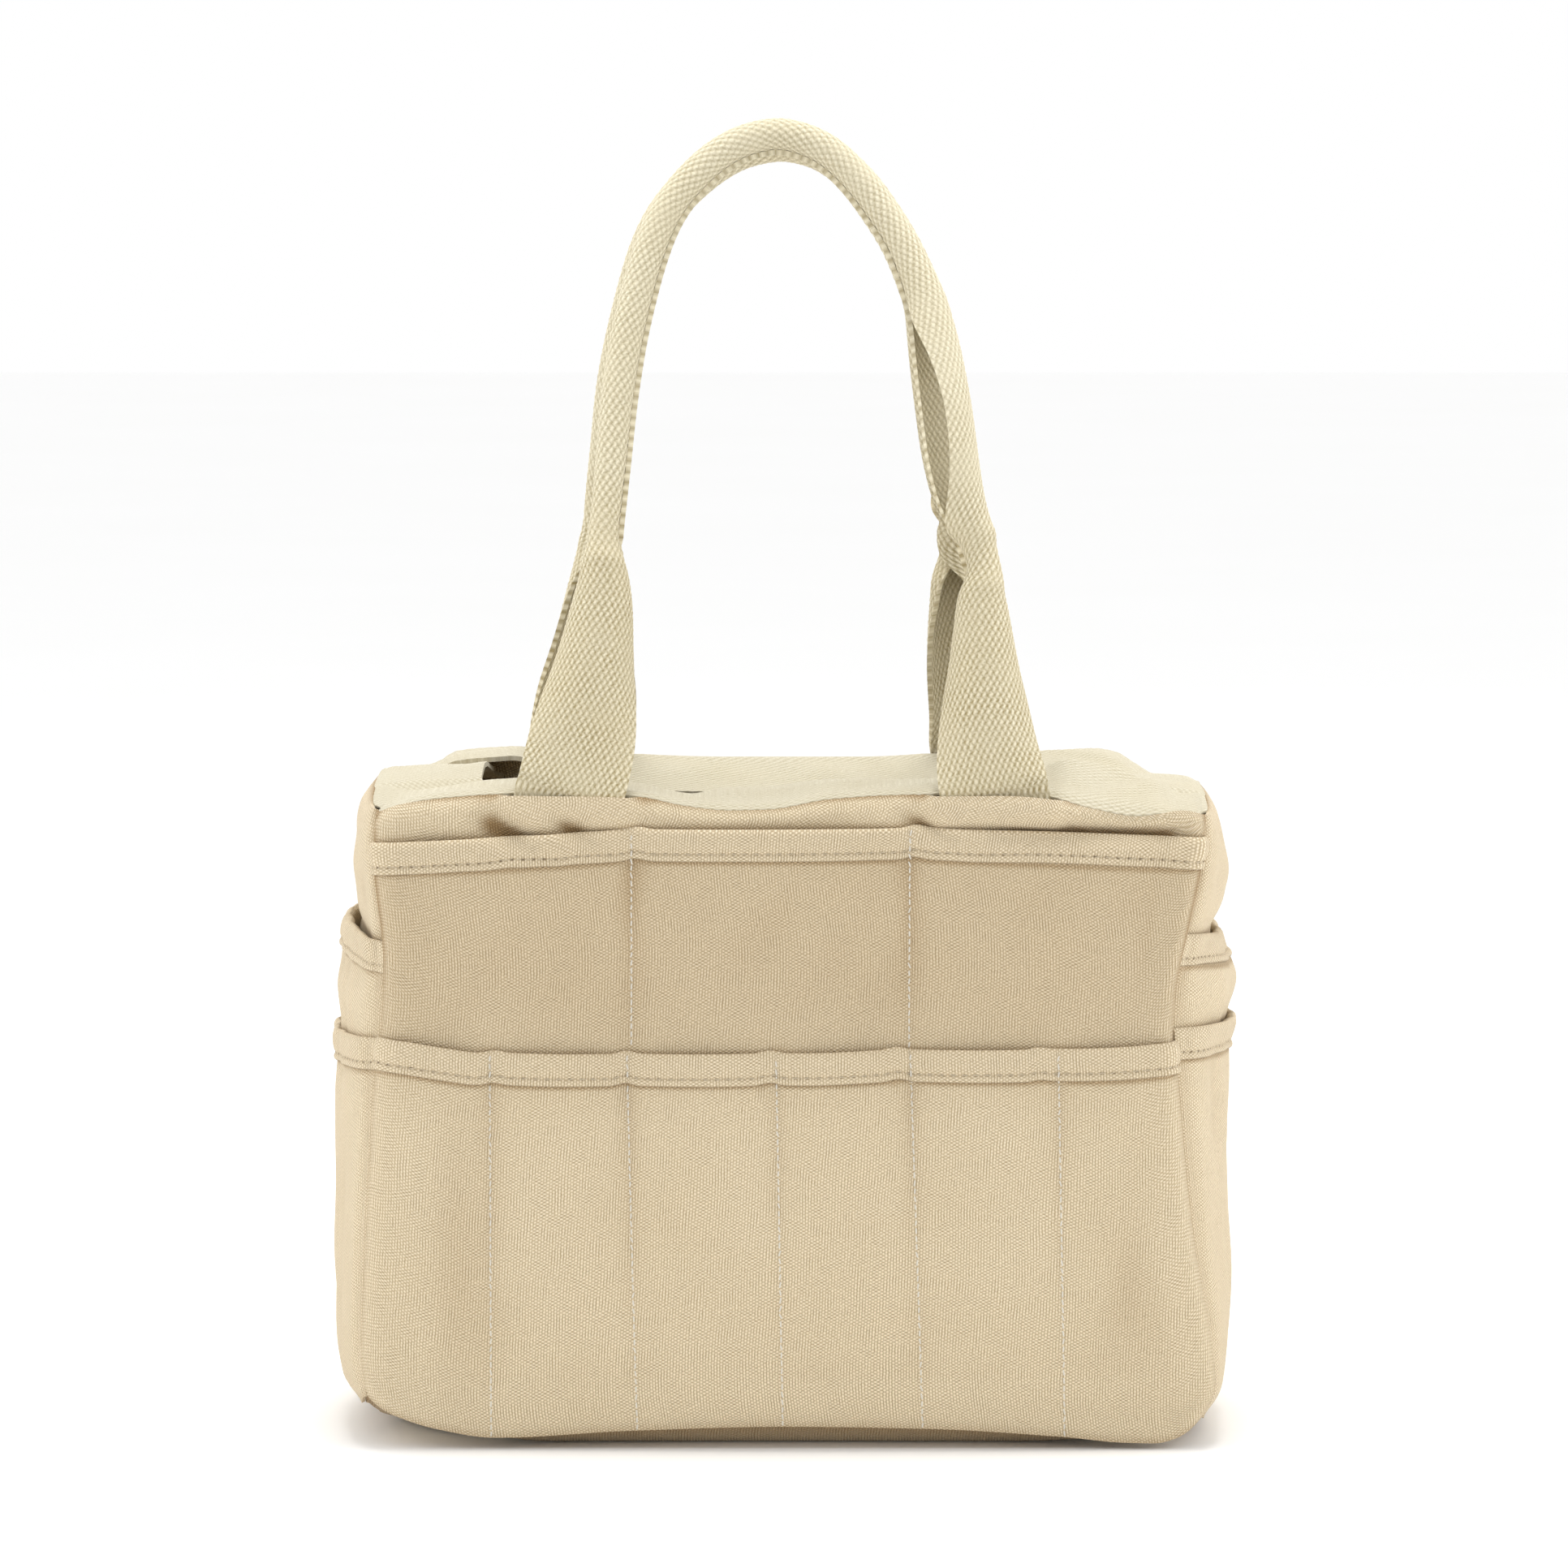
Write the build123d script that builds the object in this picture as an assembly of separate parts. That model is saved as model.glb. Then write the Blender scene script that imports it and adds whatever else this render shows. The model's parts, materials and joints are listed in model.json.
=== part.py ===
"""A canvas garden tool bag: a soft box of sewn panels, two tiers of pockets, a webbing rim and two carrying handles.

Millimetres. +Z is up, +X runs along the front to its right-hand end, and the front faces -Y.
The origin is on the ground under the middle of the bag.
"""
from build123d import *
import math
import os

# Driving dimensions of the bag's body
half_width = 145.0  # centre to the inside of a side panel
half_depth = 73.0  # centre to the inside of the front or back panel
body_height = 230.0  # ground to the top edge of the canvas
corner_radius = 12.0  # inside radius of an upright corner
seam_x = 141.0  # the upright seams, where front and back panels meet the sides
canvas = 1.2  # thickness of the duck canvas

# Driving dimensions of the pockets
pocket_gap = 5.8  # slack of a pocket, from its sheet to the cloth behind it
pocket_foot = 1.6  # height of a pocket's lower edge above the ground
lower_top = 142.0  # top of the lower pockets, all round the bag
side_upper_top = 180.0  # top of the upper pockets on the two sides
front_upper_top = 217.0  # top of the upper pockets on the front and back
binding_cloth = 0.9  # thickness of the strip that binds a pocket's top edge
binding_height = 10.5
upper_dividers = (-53.5, 44.0)  # upright rows of stitching in an upper pocket
lower_dividers = (-103.0, -55.0, -2.5, 44.5, 96.5)  # and in a lower pocket
stitched_width = 1.2  # width that a row of stitching holds against the cloth behind

# Driving dimensions of the webbing
webbing_width = 38.0
webbing = 2.0  # thickness
tab_length = 26.0  # length of a handle end that is sewn inside the front or back panel
tab_clearance = 0.2

# Driving dimensions of a handle, drawn upright over its own fold line
strap_left = -75.5  # middle of the left strap at the fold line
strap_right = 74.0
fold_rise = 2.2  # fold line above the top edge of the canvas
fold_proud = 0.6  # fold line outside the face of the canvas
grip_radius = 6.7  # webbing wrapped round the core
core_hole_radius = 4.8
core_radius = 3.8
grip_apex = 236.0  # nominal height of the grip's middle line above the fold line
apex_setback = 7.9  # distance of the grip's middle line from the bag's middle plane
grip_route = (
    (-65.0, 92.0),
    (-59.0, 146.0),
    (-50.5, 194.0),
    (-29.0, 229.0),
    (-1.0, 238.5),
    (24.5, 225.0),
    (46.0, 192.0),
    (60.0, 146.0),
    (66.5, 90.0),
)

# Worked out from the dimensions above
tall = 2 * body_height  # long enough to pass through the whole body
upper_layer = canvas  # offset of the cloth behind an upper pocket
lower_layer = upper_layer + pocket_gap + canvas  # and behind a lower pocket
rim_underside = body_height - webbing
fold_y = half_depth + canvas + fold_proud  # the handles fold over the outer edge of the rim
fold_z = body_height + fold_rise
lean = math.degrees(math.asin((fold_y - apex_setback) / grip_apex))


def block(x0, x1, y0, y1, z0, z1):
    """A box from its lowest corner to its highest."""
    return Pos((x0 + x1) / 2, (y0 + y1) / 2, (z0 + z1) / 2) * Box(x1 - x0, y1 - y0, z1 - z0)


def filled(offset, z0, z1):
    """Everything inside the body's plan outline, moved out by an offset, between two heights."""
    plan = RectangleRounded(
        2 * (half_width + offset), 2 * (half_depth + offset), corner_radius + offset
    )
    return Pos(0, 0, z0) * extrude(plan, z1 - z0)


def wall(inner, outer, z0, z1):
    """The layer between two offsets of the body's plan outline."""
    return filled(outer, z0, z1) - filled(inner, z0, z1)


reach = 2 * half_width
zones = {
    "front": block(-seam_x, seam_x, -reach, 0, -1, tall),
    "back": block(-seam_x, seam_x, 0, reach, -1, tall),
    "left": block(-reach, -seam_x, -reach, reach, -1, tall),
    "right": block(seam_x, reach, -reach, reach, -1, tall),
}


def panel(side):
    """One upright wall of the body."""
    return wall(0, canvas, canvas, body_height) & zones[side]


def sewn_lines(side, dividers, top):
    """What holds a pocket to the cloth behind it: its two ends and its rows of stitching."""
    upright = (-reach, reach, pocket_foot, top - binding_height)
    inwards = -1 if side in ("front", "back") else 1
    lines = []
    for end in (-seam_x, seam_x):
        other = end + inwards * math.copysign(canvas, end)
        lines.append(block(min(end, other), max(end, other), *upright))
    for x in dividers:
        lines.append(block(x - stitched_width / 2, x + stitched_width / 2, *upright))
    return lines


def pocket(side, layer, top, dividers=()):
    """A pocket sheet with its closed foot, ends and rows of stitching, standing off by its slack."""
    slab = wall(layer, layer + pocket_gap + canvas, pocket_foot, top) & zones[side]
    slack = wall(layer, layer + pocket_gap, pocket_foot + canvas, top) & zones[side]
    for line in sewn_lines(side, dividers, top):
        slack -= line
    return slab - slack


def pocket_binding(side, layer, top):
    """A folded strip over the top edge of a pocket sheet."""
    inner = layer + pocket_gap
    outer = inner + canvas
    strip = wall(
        inner - binding_cloth, outer + binding_cloth, top - binding_height, top + binding_cloth
    )
    return (strip & zones[side]) - wall(inner, outer, 0, top)


def strap_slots(facing):
    """The places along the rim where the four strap ends pass."""
    half = webbing_width / 2 + tab_clearance
    depth = webbing + tab_clearance
    slots = []
    for x in (strap_left, strap_right):
        y0, y1 = sorted((facing * half_depth, facing * (half_depth - depth)))
        slots.append(block(x - half, x + half, y0, y1, 0, tall))
    return slots


def long_rim_strip(facing):
    """Webbing sewn along the top edge of the front (-1) or back (1) and folded in over the mouth."""
    y0, y1 = sorted((facing * half_depth, facing * (half_depth - webbing_width)))
    strip = block(-reach, reach, y0, y1, rim_underside, body_height) & filled(0, 0, tall)
    for slot in strap_slots(facing):
        strip -= slot
    return strip


def end_rim_strip(facing):
    """Webbing along the top edge of a side, tucked under the ends of the long strips."""
    x0, x1 = sorted((facing * half_width, facing * (half_width - webbing_width)))
    layer = block(x0, x1, -reach, reach, rim_underside - webbing, rim_underside)
    return layer & filled(0, 0, tall)


def tab(facing, x):
    """The end of a handle, sewn flat against the inside of a long panel."""
    y0, y1 = sorted((facing * half_depth, facing * (half_depth - webbing)))
    half = webbing_width / 2
    under_end_strips = rim_underside - tab_length
    return block(x - half, x + half, y0, y1, under_end_strips, body_height)


def largest_radii(points):
    """The largest tangent arc that fits at each inner point of a route, 0.45 of its shorter run."""
    radii = []
    for before, here, after in zip(points, points[1:], points[2:]):
        run_in = Vector(*here) - Vector(*before)
        run_out = Vector(*after) - Vector(*here)
        turn = math.radians(run_in.get_angle(run_out))
        radii.append(0.45 * min(run_in.length, run_out.length) / math.tan(turn / 2))
    return radii


def round_bar(route, radius):
    """A round bar along a route of (across, up) points, with its corners rounded."""
    points = [(x, 0.0, z) for x, z in route]
    path = FilletPolyline(*points, radius=largest_radii(points))
    profile = Plane(origin=path @ 0, z_dir=path % 0) * Circle(radius)
    return sweep(profile, path=path)


def flat_strap(x, top):
    """Webbing from its full width at the fold line to the width of the grip."""
    half = webbing_width / 2
    outline = Polyline(
        (x - half, 0, 0),
        (x + half, 0, 0),
        (top[0] + grip_radius, 0, top[1]),
        (top[0] - grip_radius, 0, top[1]),
        close=True,
    )
    sheet = extrude(make_face(outline), amount=webbing / 2, dir=(0, 1, 0), both=True)
    fold = Pos(x, 0, 0) * Rot(0, 90, 0) * Cylinder(webbing / 2, webbing_width)
    return sheet + fold


def placed(shape, facing):
    """Leans an upright handle part in over the mouth, from the front (-1) or back (1) fold line."""
    return Pos(0, facing * fold_y, fold_z) * Rot(facing * lean, 0, 0) * shape


def handle_webbing():
    """The free length of a handle: two flat straps and the wrapped grip between them."""
    tube = round_bar(grip_route, grip_radius) - round_bar(grip_route, core_hole_radius)
    return tube + flat_strap(strap_left, grip_route[0]) + flat_strap(strap_right, grip_route[-1])


def build():
    """Every sub-part, by the name of its node."""
    parts = {"base_panel": filled(canvas, 0, canvas)}
    for side in zones:
        long_side = side in ("front", "back")
        upper_top = front_upper_top if long_side else side_upper_top
        parts[f"{side}_panel"] = panel(side)
        parts[f"{side}_upper_pocket"] = pocket(
            side, upper_layer, upper_top, upper_dividers if long_side else ()
        )
        parts[f"{side}_lower_pocket"] = pocket(
            side, lower_layer, lower_top, lower_dividers if long_side else ()
        )
        parts[f"{side}_upper_pocket_binding"] = pocket_binding(side, upper_layer, upper_top)
        parts[f"{side}_lower_pocket_binding"] = pocket_binding(side, lower_layer, lower_top)
    webbing_part = handle_webbing()
    core = round_bar(grip_route[1:-1], core_radius)  # it stops where the wrapping opens out
    for side, facing in (("front", -1), ("back", 1)):
        parts[f"{side}_rim_webbing"] = long_rim_strip(facing)
        parts[f"{side}_handle_webbing"] = placed(webbing_part, facing)
        parts[f"{side}_handle_core"] = placed(core, facing)
        parts[f"{side}_handle_left_end"] = tab(facing, strap_left)
        parts[f"{side}_handle_right_end"] = tab(facing, strap_right)
    for side, facing in (("left", -1), ("right", 1)):
        parts[f"{side}_rim_webbing"] = end_rim_strip(facing)
    return parts


os.makedirs("parts", exist_ok=True)
for name, shape in build().items():
    export_step(shape, f"parts/{name}.step")
print(f"handles lean in by {lean:.3f} degrees; fold line at y {fold_y:.1f}, z {fold_z:.1f}")
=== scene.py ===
"""A soft canvas garden tool bag: sagging panels, two tiers of bound pockets, a webbing rim, two handles.

Lengths are millimetres until a mesh is made, and metres after that. The front of the bag faces -Y.
Each cloth piece is a pair of grids, its outer and its inner face, closed round the edge.
"""
import json
import math

import bpy
import numpy as np
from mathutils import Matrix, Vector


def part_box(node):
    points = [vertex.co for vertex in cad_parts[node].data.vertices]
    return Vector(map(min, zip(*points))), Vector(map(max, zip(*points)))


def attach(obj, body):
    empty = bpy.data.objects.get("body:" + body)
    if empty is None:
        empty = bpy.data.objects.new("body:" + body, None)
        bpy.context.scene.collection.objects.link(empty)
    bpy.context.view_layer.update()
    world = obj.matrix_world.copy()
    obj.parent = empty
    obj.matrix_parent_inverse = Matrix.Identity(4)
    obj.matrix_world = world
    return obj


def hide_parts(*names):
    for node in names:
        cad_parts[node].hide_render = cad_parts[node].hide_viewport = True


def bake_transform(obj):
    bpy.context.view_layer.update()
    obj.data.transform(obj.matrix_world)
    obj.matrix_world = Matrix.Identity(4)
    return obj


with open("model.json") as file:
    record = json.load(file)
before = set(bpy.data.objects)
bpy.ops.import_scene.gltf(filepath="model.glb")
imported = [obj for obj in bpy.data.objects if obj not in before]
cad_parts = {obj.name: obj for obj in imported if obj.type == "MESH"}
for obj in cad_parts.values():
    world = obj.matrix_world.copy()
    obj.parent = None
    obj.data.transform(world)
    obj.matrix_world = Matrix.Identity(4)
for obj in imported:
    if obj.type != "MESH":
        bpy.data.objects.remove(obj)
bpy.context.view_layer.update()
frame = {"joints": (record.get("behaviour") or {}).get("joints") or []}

MM = 0.001
FRONT, BACK, LEFT, RIGHT = "front", "back", "left", "right"


# ---------------------------------------------------------------- sizes, read from the frame
def box_mm(node):
    """A CAD node's lowest and highest corner, in millimetres."""
    low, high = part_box(node)
    return np.array(low) / MM, np.array(high) / MM


def joint_mm(name):
    """Where a hinge is, in millimetres."""
    joint = next(j for j in frame["joints"] if j["name"] == name)
    return np.array(joint["pos_m"]) / MM


panel_low, panel_high = box_mm("front_panel")
seam_x = panel_high[0]
face_y = -panel_low[1]
upper_top = box_mm("front_upper_pocket")[1][2]
lower_top = box_mm("front_lower_pocket")[1][2]
side_upper_top = box_mm("left_upper_pocket")[1][2]
tab_low, tab_high = box_mm("front_handle_left_end")
webbing_width = tab_high[0] - tab_low[0]
strap_left = (tab_high[0] + tab_low[0]) / 2
right_tab_low, right_tab_high = box_mm("front_handle_right_end")
strap_right = (right_tab_high[0] + right_tab_low[0]) / 2

# Sizes that only the looks need
CANVAS = 1.2  # thickness
TIER = 1.35  # from one layer of cloth to the next where they are sewn together
BINDING = 10.5  # height of the folded strip over a pocket's edge
WEBBING = 1.9  # thickness
THREAD = 0.22  # radius of the sewing thread
SEWN_AT = 7.8  # from the top of a binding down to its row of stitches
STITCH = 4.0  # length of one stitch with its gap
WEAVE_COLUMN = 1.02  # from one column of the canvas weave's dots to the next
WEAVE_UP = 1.165  # from one dot to the next in a column
PEBBLE_ACROSS = 2.15  # from one pebble of the webbing to the next in a row
PEBBLE_ROW = 1.97  # from one row of pebbles to the next
PEBBLE_LEAN = -0.17  # how far the ends of a pebble slant to either side
PEBBLE_PLAIN = 0.36  # the pebble pattern's middle level, and the shares of its three waves
PEBBLE_BRICKS, PEBBLE_ROWS, PEBBLE_GAPS = 0.5, 0.06, 0.08
PEBBLE_FULLNESS = 0.6  # below 1 the pebbles are fuller and the gaps between them narrower
GRIP_MIDDLE = 273.5  # from a handle's sewn end to the middle of its grip, along the webbing
CORD_STRANDS = 3
CORD_TWIST = 24.0  # length of one full turn of the cord in a grip
CORD_FROM = 105.0  # the cord in a grip starts this far above the fold line
CLOTH_MESH, BINDING_MESH, RIM_MESH = 1.6, 1.1, 0.66  # mesh spacing of the canvas, the bindings and the rim
LAYER_STEP = 0.75  # how far each further layer of cloth is sewn outside the last at a seam
THREAD_SIDES = 6


# ---------------------------------------------------------------- small helpers
def along(knots, at):
    """A smooth curve through a few (place, value) knots, with no overshoot."""
    x, y = np.array(knots, float).T
    slope = np.diff(y) / np.diff(x)
    rate = np.zeros_like(y)
    both = slope[:-1] * slope[1:]
    same_way = both > 0
    rate[1:-1][same_way] = 2 * both[same_way] / (slope[:-1] + slope[1:])[same_way]
    rate[0], rate[-1] = slope[0], slope[-1]
    at = np.clip(at, x[0], x[-1])
    i = np.clip(np.searchsorted(x, at) - 1, 0, len(x) - 2)
    wide = x[i + 1] - x[i]
    t = (at - x[i]) / wide
    return (
        y[i] * (1 + 2 * t) * (1 - t) ** 2
        + rate[i] * wide * t * (1 - t) ** 2
        + y[i + 1] * t * t * (3 - 2 * t)
        - rate[i + 1] * wide * t * t * (1 - t)
    )


def ramp(value, low, high):
    """0 below low, 1 above high, and a smooth step between."""
    t = np.clip((value - low) / (high - low), 0, 1)
    return t * t * (3 - 2 * t)


def bump(value, middle, half):
    """1 at the middle, fading to nothing on both sides."""
    return np.exp(-(((value - middle) / half) ** 2))


def mix(a, b, t):
    return a + (b - a) * t


def slack_noise(seed, size, a, b):
    """Gentle unevenness from -1 to 1 over two directions, in waves of about the given size."""
    rng = np.random.default_rng(seed)
    total = np.zeros(np.broadcast(a, b).shape)
    for _ in range(6):
        turn, phase = rng.uniform(0, 2 * math.pi, 2)
        length = size * rng.uniform(0.7, 1.8)
        total += np.sin((a * math.cos(turn) + b * math.sin(turn)) * 2 * math.pi / length + phase)
    return total / 3.4


def unit(v):
    return v / np.maximum(np.linalg.norm(v, axis=-1, keepdims=True), 1e-9)


def stack(x, y, z):
    return np.stack(np.broadcast_arrays(x, y, z), axis=-1).astype(float)


def points_at(place, run, points):
    """The point, or the row of points, at one or more places along a line of points."""
    return np.stack([np.interp(place, run, points[:, k]) for k in range(3)], axis=-1)


def normals(grid):
    """Unit normals of a grid of points, by the right-hand rule from its first axis to its second."""
    return unit(np.cross(np.gradient(grid, axis=0), np.gradient(grid, axis=1)))


def lengths(grid):
    """How far each grid point is along the first and the second axis, following the cloth."""
    along_first = np.linalg.norm(np.diff(grid, axis=0), axis=-1)
    along_second = np.linalg.norm(np.diff(grid, axis=1), axis=-1)
    u = np.concatenate([np.zeros((1, grid.shape[1])), np.cumsum(along_first, axis=0)])
    v = np.concatenate([np.zeros((grid.shape[0], 1)), np.cumsum(along_second, axis=1)], axis=1)
    return u, v


# ---------------------------------------------------------------- meshes
def make_object(name, points, faces, weave, material, smooth_angle=50, hollow=None):
    """A mesh object from points in millimetres, with the weave's place and the painted shade on its corners.
    """
    mesh = bpy.data.meshes.new(name)
    mesh.from_pydata((points * MM).tolist(), [], faces)
    corners = np.empty(len(mesh.loops), np.int32)
    mesh.loops.foreach_get("vertex_index", corners)
    layers = {"weave": weave}
    # The painted shade goes into a UV layer of its own.
    if hollow is not None:
        layers["hollow"] = np.stack([hollow, np.zeros_like(hollow)], axis=-1)
    for layer_name, values in layers.items():
        layer = mesh.uv_layers.new(name=layer_name)
        layer.data.foreach_set("uv", values[corners].astype(np.float32).ravel())
    mesh.materials.append(material)
    mesh.shade_smooth()
    mesh.set_sharp_from_angle(angle=math.radians(smooth_angle))
    mesh.update()
    obj = bpy.data.objects.new(name, mesh)
    bpy.context.scene.collection.objects.link(obj)
    return obj


def shell(name, outer, inner, weave, material, smooth_angle=50, hollow=None):
    """A closed sheet from two matching grids of points and the weave's coordinates of each point."""
    rows, columns = outer.shape[:2]
    count = rows * columns
    index = np.arange(count).reshape(rows, columns)
    a, b, c, d = index[:-1, :-1], index[1:, :-1], index[1:, 1:], index[:-1, 1:]
    front = np.stack([a, b, c, d], axis=-1).reshape(-1, 4)
    back = np.stack([d, c, b, a], axis=-1).reshape(-1, 4) + count
    loop = np.concatenate([index[:-1, 0], index[-1, :-1], index[:0:-1, -1], index[0, :0:-1]])
    after = np.roll(loop, -1)
    rim = np.stack([after, loop, loop + count, after + count], axis=-1)
    points = np.concatenate([outer.reshape(-1, 3), inner.reshape(-1, 3)])
    both = np.concatenate([weave.reshape(-1, 2)] * 2)
    faces = np.concatenate([front, back, rim]).tolist()
    # The painted shade, the same on both faces.
    deep = None if hollow is None else np.concatenate([hollow.ravel()] * 2)
    return make_object(name, points, faces, both, material, smooth_angle, deep)


def outwards(outer, inner, weave, out):
    """The grids of a sheet, turned round where their outer face would face inwards."""
    if np.sum(normals(outer[:8, :8]) * out[:8, :8]) < 0:
        return outer[:, ::-1], inner[:, ::-1], weave[:, ::-1]
    return outer, inner, weave


def cloth(name, middle, thickness, material, hollow):
    """A sheet of even thickness round a grid of points."""
    n = normals(middle)
    u, v = lengths(middle)
    outer = middle + n * thickness / 2
    inner = middle - n * thickness / 2
    return shell(name, outer, inner, np.stack([u, v], axis=-1), material, hollow=hollow)


def sunk(depth, reach):
    """How far each place of a grid lies behind the average of its surroundings."""
    padded = np.pad(depth, reach, "edge")
    rows, columns = depth.shape
    places = range(2 * reach + 1)
    total = sum(padded[i:i + rows, j:j + columns] for i in places for j in places)
    return total / len(places) ** 2 - depth


def thread_template():
    """One stitch: a short thread that comes up out of the cloth and goes down again."""
    stations = ((-0.42, -0.30, 0.6), (-0.35, 0.0, 0.9), (-0.18, 0.12, 1.0), (0.0, 0.15, 1.05),
                (0.18, 0.12, 1.0), (0.35, 0.0, 0.9), (0.42, -0.30, 0.6))
    rings = []
    for place, lift, thick in stations:
        for k in range(THREAD_SIDES):
            turn = 2 * math.pi * k / THREAD_SIDES
            across, up = THREAD * thick * math.cos(turn), THREAD * thick * math.sin(turn)
            rings.append((place, across, lift + up))
    return np.array(rings), len(stations)


def stitches(name, line, out, material, pitch=STITCH, wander=0.12, seed=3, thick=1.0):
    """A row of stitches along a line of points, standing on the cloth whose outward normals are given."""
    run = np.linalg.norm(np.diff(line, axis=0), axis=1)
    place = np.concatenate([[0], np.cumsum(run)])
    count = max(1, int(place[-1] / pitch))
    rng = np.random.default_rng(seed)
    template, stations = thread_template()
    points, faces = [], []
    for i in range(count):
        middle = (i + 0.5) * pitch
        at = points_at(middle, place, line)
        tangent = unit(points_at(middle + pitch / 2, place, line) - points_at(middle - pitch / 2, place, line))
        normal = unit(points_at(middle, place, out))
        across = unit(np.cross(normal, tangent))
        tangent = unit(tangent + across * rng.normal(0, wander))
        size = rng.uniform(0.92, 1.05)
        local = template * np.array([pitch * size, thick, thick])
        points.append(at + local[:, :1] * tangent + local[:, 1:2] * across + local[:, 2:] * normal)
        base = i * len(template)
        for first in range(0, (stations - 1) * THREAD_SIDES, THREAD_SIDES):
            for k in range(THREAD_SIDES):
                a = base + first + k
                b = base + first + (k + 1) % THREAD_SIDES
                faces.append((a, b, b + THREAD_SIDES, a + THREAD_SIDES))
        last = base + (stations - 1) * THREAD_SIDES
        faces.append(tuple(base + k for k in reversed(range(THREAD_SIDES))))
        faces.append(tuple(last + k for k in range(THREAD_SIDES)))
    points = np.concatenate(points)
    return make_object(name, points, faces, points[:, [0, 2]], material, 80)


# ---------------------------------------------------------------- materials
class Nodes:
    """A material's node tree, with short ways to add and join nodes."""

    def __init__(self, name):
        self.material = bpy.data.materials.new(name)
        self.material.use_nodes = True
        self.tree = self.material.node_tree
        self.shader = self.tree.nodes["Principled BSDF"]

    def add(self, kind, **settings):
        node = self.tree.nodes.new(kind)
        for key, value in settings.items():
            setattr(node, key, value)
        return node

    def join(self, value, socket):
        if isinstance(value, bpy.types.NodeSocket):
            self.tree.links.new(value, socket)
        else:
            socket.default_value = value

    def math(self, operation, a, b=0.0, c=0.0):
        node = self.add("ShaderNodeMath", operation=operation)
        for value, socket in zip((a, b, c), node.inputs):
            self.join(value, socket)
        return node.outputs[0]

    def layer(self, name):
        """A UV layer of the mesh, whole and as its two numbers."""
        uv = self.add("ShaderNodeUVMap", uv_map=name)
        parts = self.add("ShaderNodeSeparateXYZ")
        self.join(uv.outputs[0], parts.inputs[0])
        return uv.outputs[0], parts.outputs[0], parts.outputs[1]

    def cloth_place(self):
        """The place on the cloth, in millimetres along it and across it."""
        return self.layer("weave")

    def hollow(self):
        """How much painted shade the cloth gets here, from 0 to 1."""
        return self.layer("hollow")[1]

    def noise(self, vector, scale, detail=2.0, roughness=0.5):
        node = self.add("ShaderNodeTexNoise")
        self.join(vector, node.inputs["Vector"])
        node.inputs["Scale"].default_value = scale
        node.inputs["Detail"].default_value = detail
        node.inputs["Roughness"].default_value = roughness
        return node.outputs[0]

    def between(self, value, low, high, out_low, out_high):
        node = self.add("ShaderNodeMapRange", clamp=True)
        for given, socket in zip((value, low, high, out_low, out_high), node.inputs):
            self.join(given, socket)
        return node.outputs[0]

    def blend(self, amount, a, b, kind="MIX"):
        node = self.add("ShaderNodeMix", data_type="RGBA", blend_type=kind)
        self.join(amount, node.inputs[0])
        for value, socket in ((a, node.inputs[6]), (b, node.inputs[7])):
            self.join(value if isinstance(value, bpy.types.NodeSocket) else (*value, 1), socket)
        return node.outputs[2]

    def duck(self, u, v, columns_share):
        """The canvas weave: staggered dots in upright columns, from about -1 to 1."""
        columns = self.math("COSINE", self.math("MULTIPLY", u, 2 * math.pi / WEAVE_COLUMN))
        across = self.math("COSINE", self.math("MULTIPLY", u, math.pi / WEAVE_COLUMN))
        upwards = self.math("COSINE", self.math("MULTIPLY", v, 2 * math.pi / WEAVE_UP))
        dots = self.math("MULTIPLY", across, upwards)
        dots_share = self.math("SUBTRACT", 1.0, columns_share)
        return self.math("MULTIPLY_ADD", columns, columns_share, self.math("MULTIPLY", dots, dots_share))

    def pebbles(self, u, v):
        """The webbing's staggered, slanting pebbles, from 0 between them to 1 on them."""
        turn = self.math("MULTIPLY", u, 2 * math.pi / PEBBLE_ROW)
        slanted = self.math("MULTIPLY_ADD", self.math("SINE", turn), PEBBLE_LEAN, v)
        across = self.math("COSINE", self.math("MULTIPLY", slanted, 2 * math.pi / PEBBLE_ACROSS))
        staggered = self.math("COSINE", self.math("MULTIPLY", turn, 0.5))
        between = self.math("COSINE", self.math("MULTIPLY", slanted, 4 * math.pi / PEBBLE_ACROSS))
        rows = self.math("MULTIPLY_ADD", self.math("COSINE", turn), PEBBLE_ROWS, PEBBLE_PLAIN)
        gaps = self.math("MULTIPLY_ADD", between, PEBBLE_GAPS, rows)
        lobes = self.math("MULTIPLY_ADD", self.math("MULTIPLY", across, staggered), PEBBLE_BRICKS, gaps)
        return self.math("POWER", self.math("MAXIMUM", lobes, 0.0), PEBBLE_FULLNESS)

    def finish(self, color, height, bump_mm, roughness, sheen):
        bump_node = self.add("ShaderNodeBump")
        bump_node.inputs["Strength"].default_value = 1.0
        bump_node.inputs["Distance"].default_value = bump_mm * MM
        self.join(height, bump_node.inputs["Height"])
        self.join(bump_node.outputs[0], self.shader.inputs["Normal"])
        self.join(color, self.shader.inputs["Base Color"])
        self.join(roughness, self.shader.inputs["Roughness"])
        self.shader.inputs["Specular IOR Level"].default_value = 0.25
        self.shader.inputs["Sheen Weight"].default_value = sheen
        self.shader.inputs["Sheen Roughness"].default_value = 0.5
        return self.material


def wobbly(nodes, vector, u, v):
    """The place on the cloth pushed about a little, so that no thread runs dead straight."""
    slow = nodes.math("MULTIPLY", nodes.math("SUBTRACT", nodes.noise(vector, 0.03, 1.0), 0.5), 2.0)
    fast = nodes.math("MULTIPLY", nodes.math("SUBTRACT", nodes.noise(vector, 0.4, 1.0), 0.5), 0.4)
    return nodes.math("ADD", nodes.math("ADD", u, slow), fast), nodes.math("SUBTRACT", v, fast)


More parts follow.
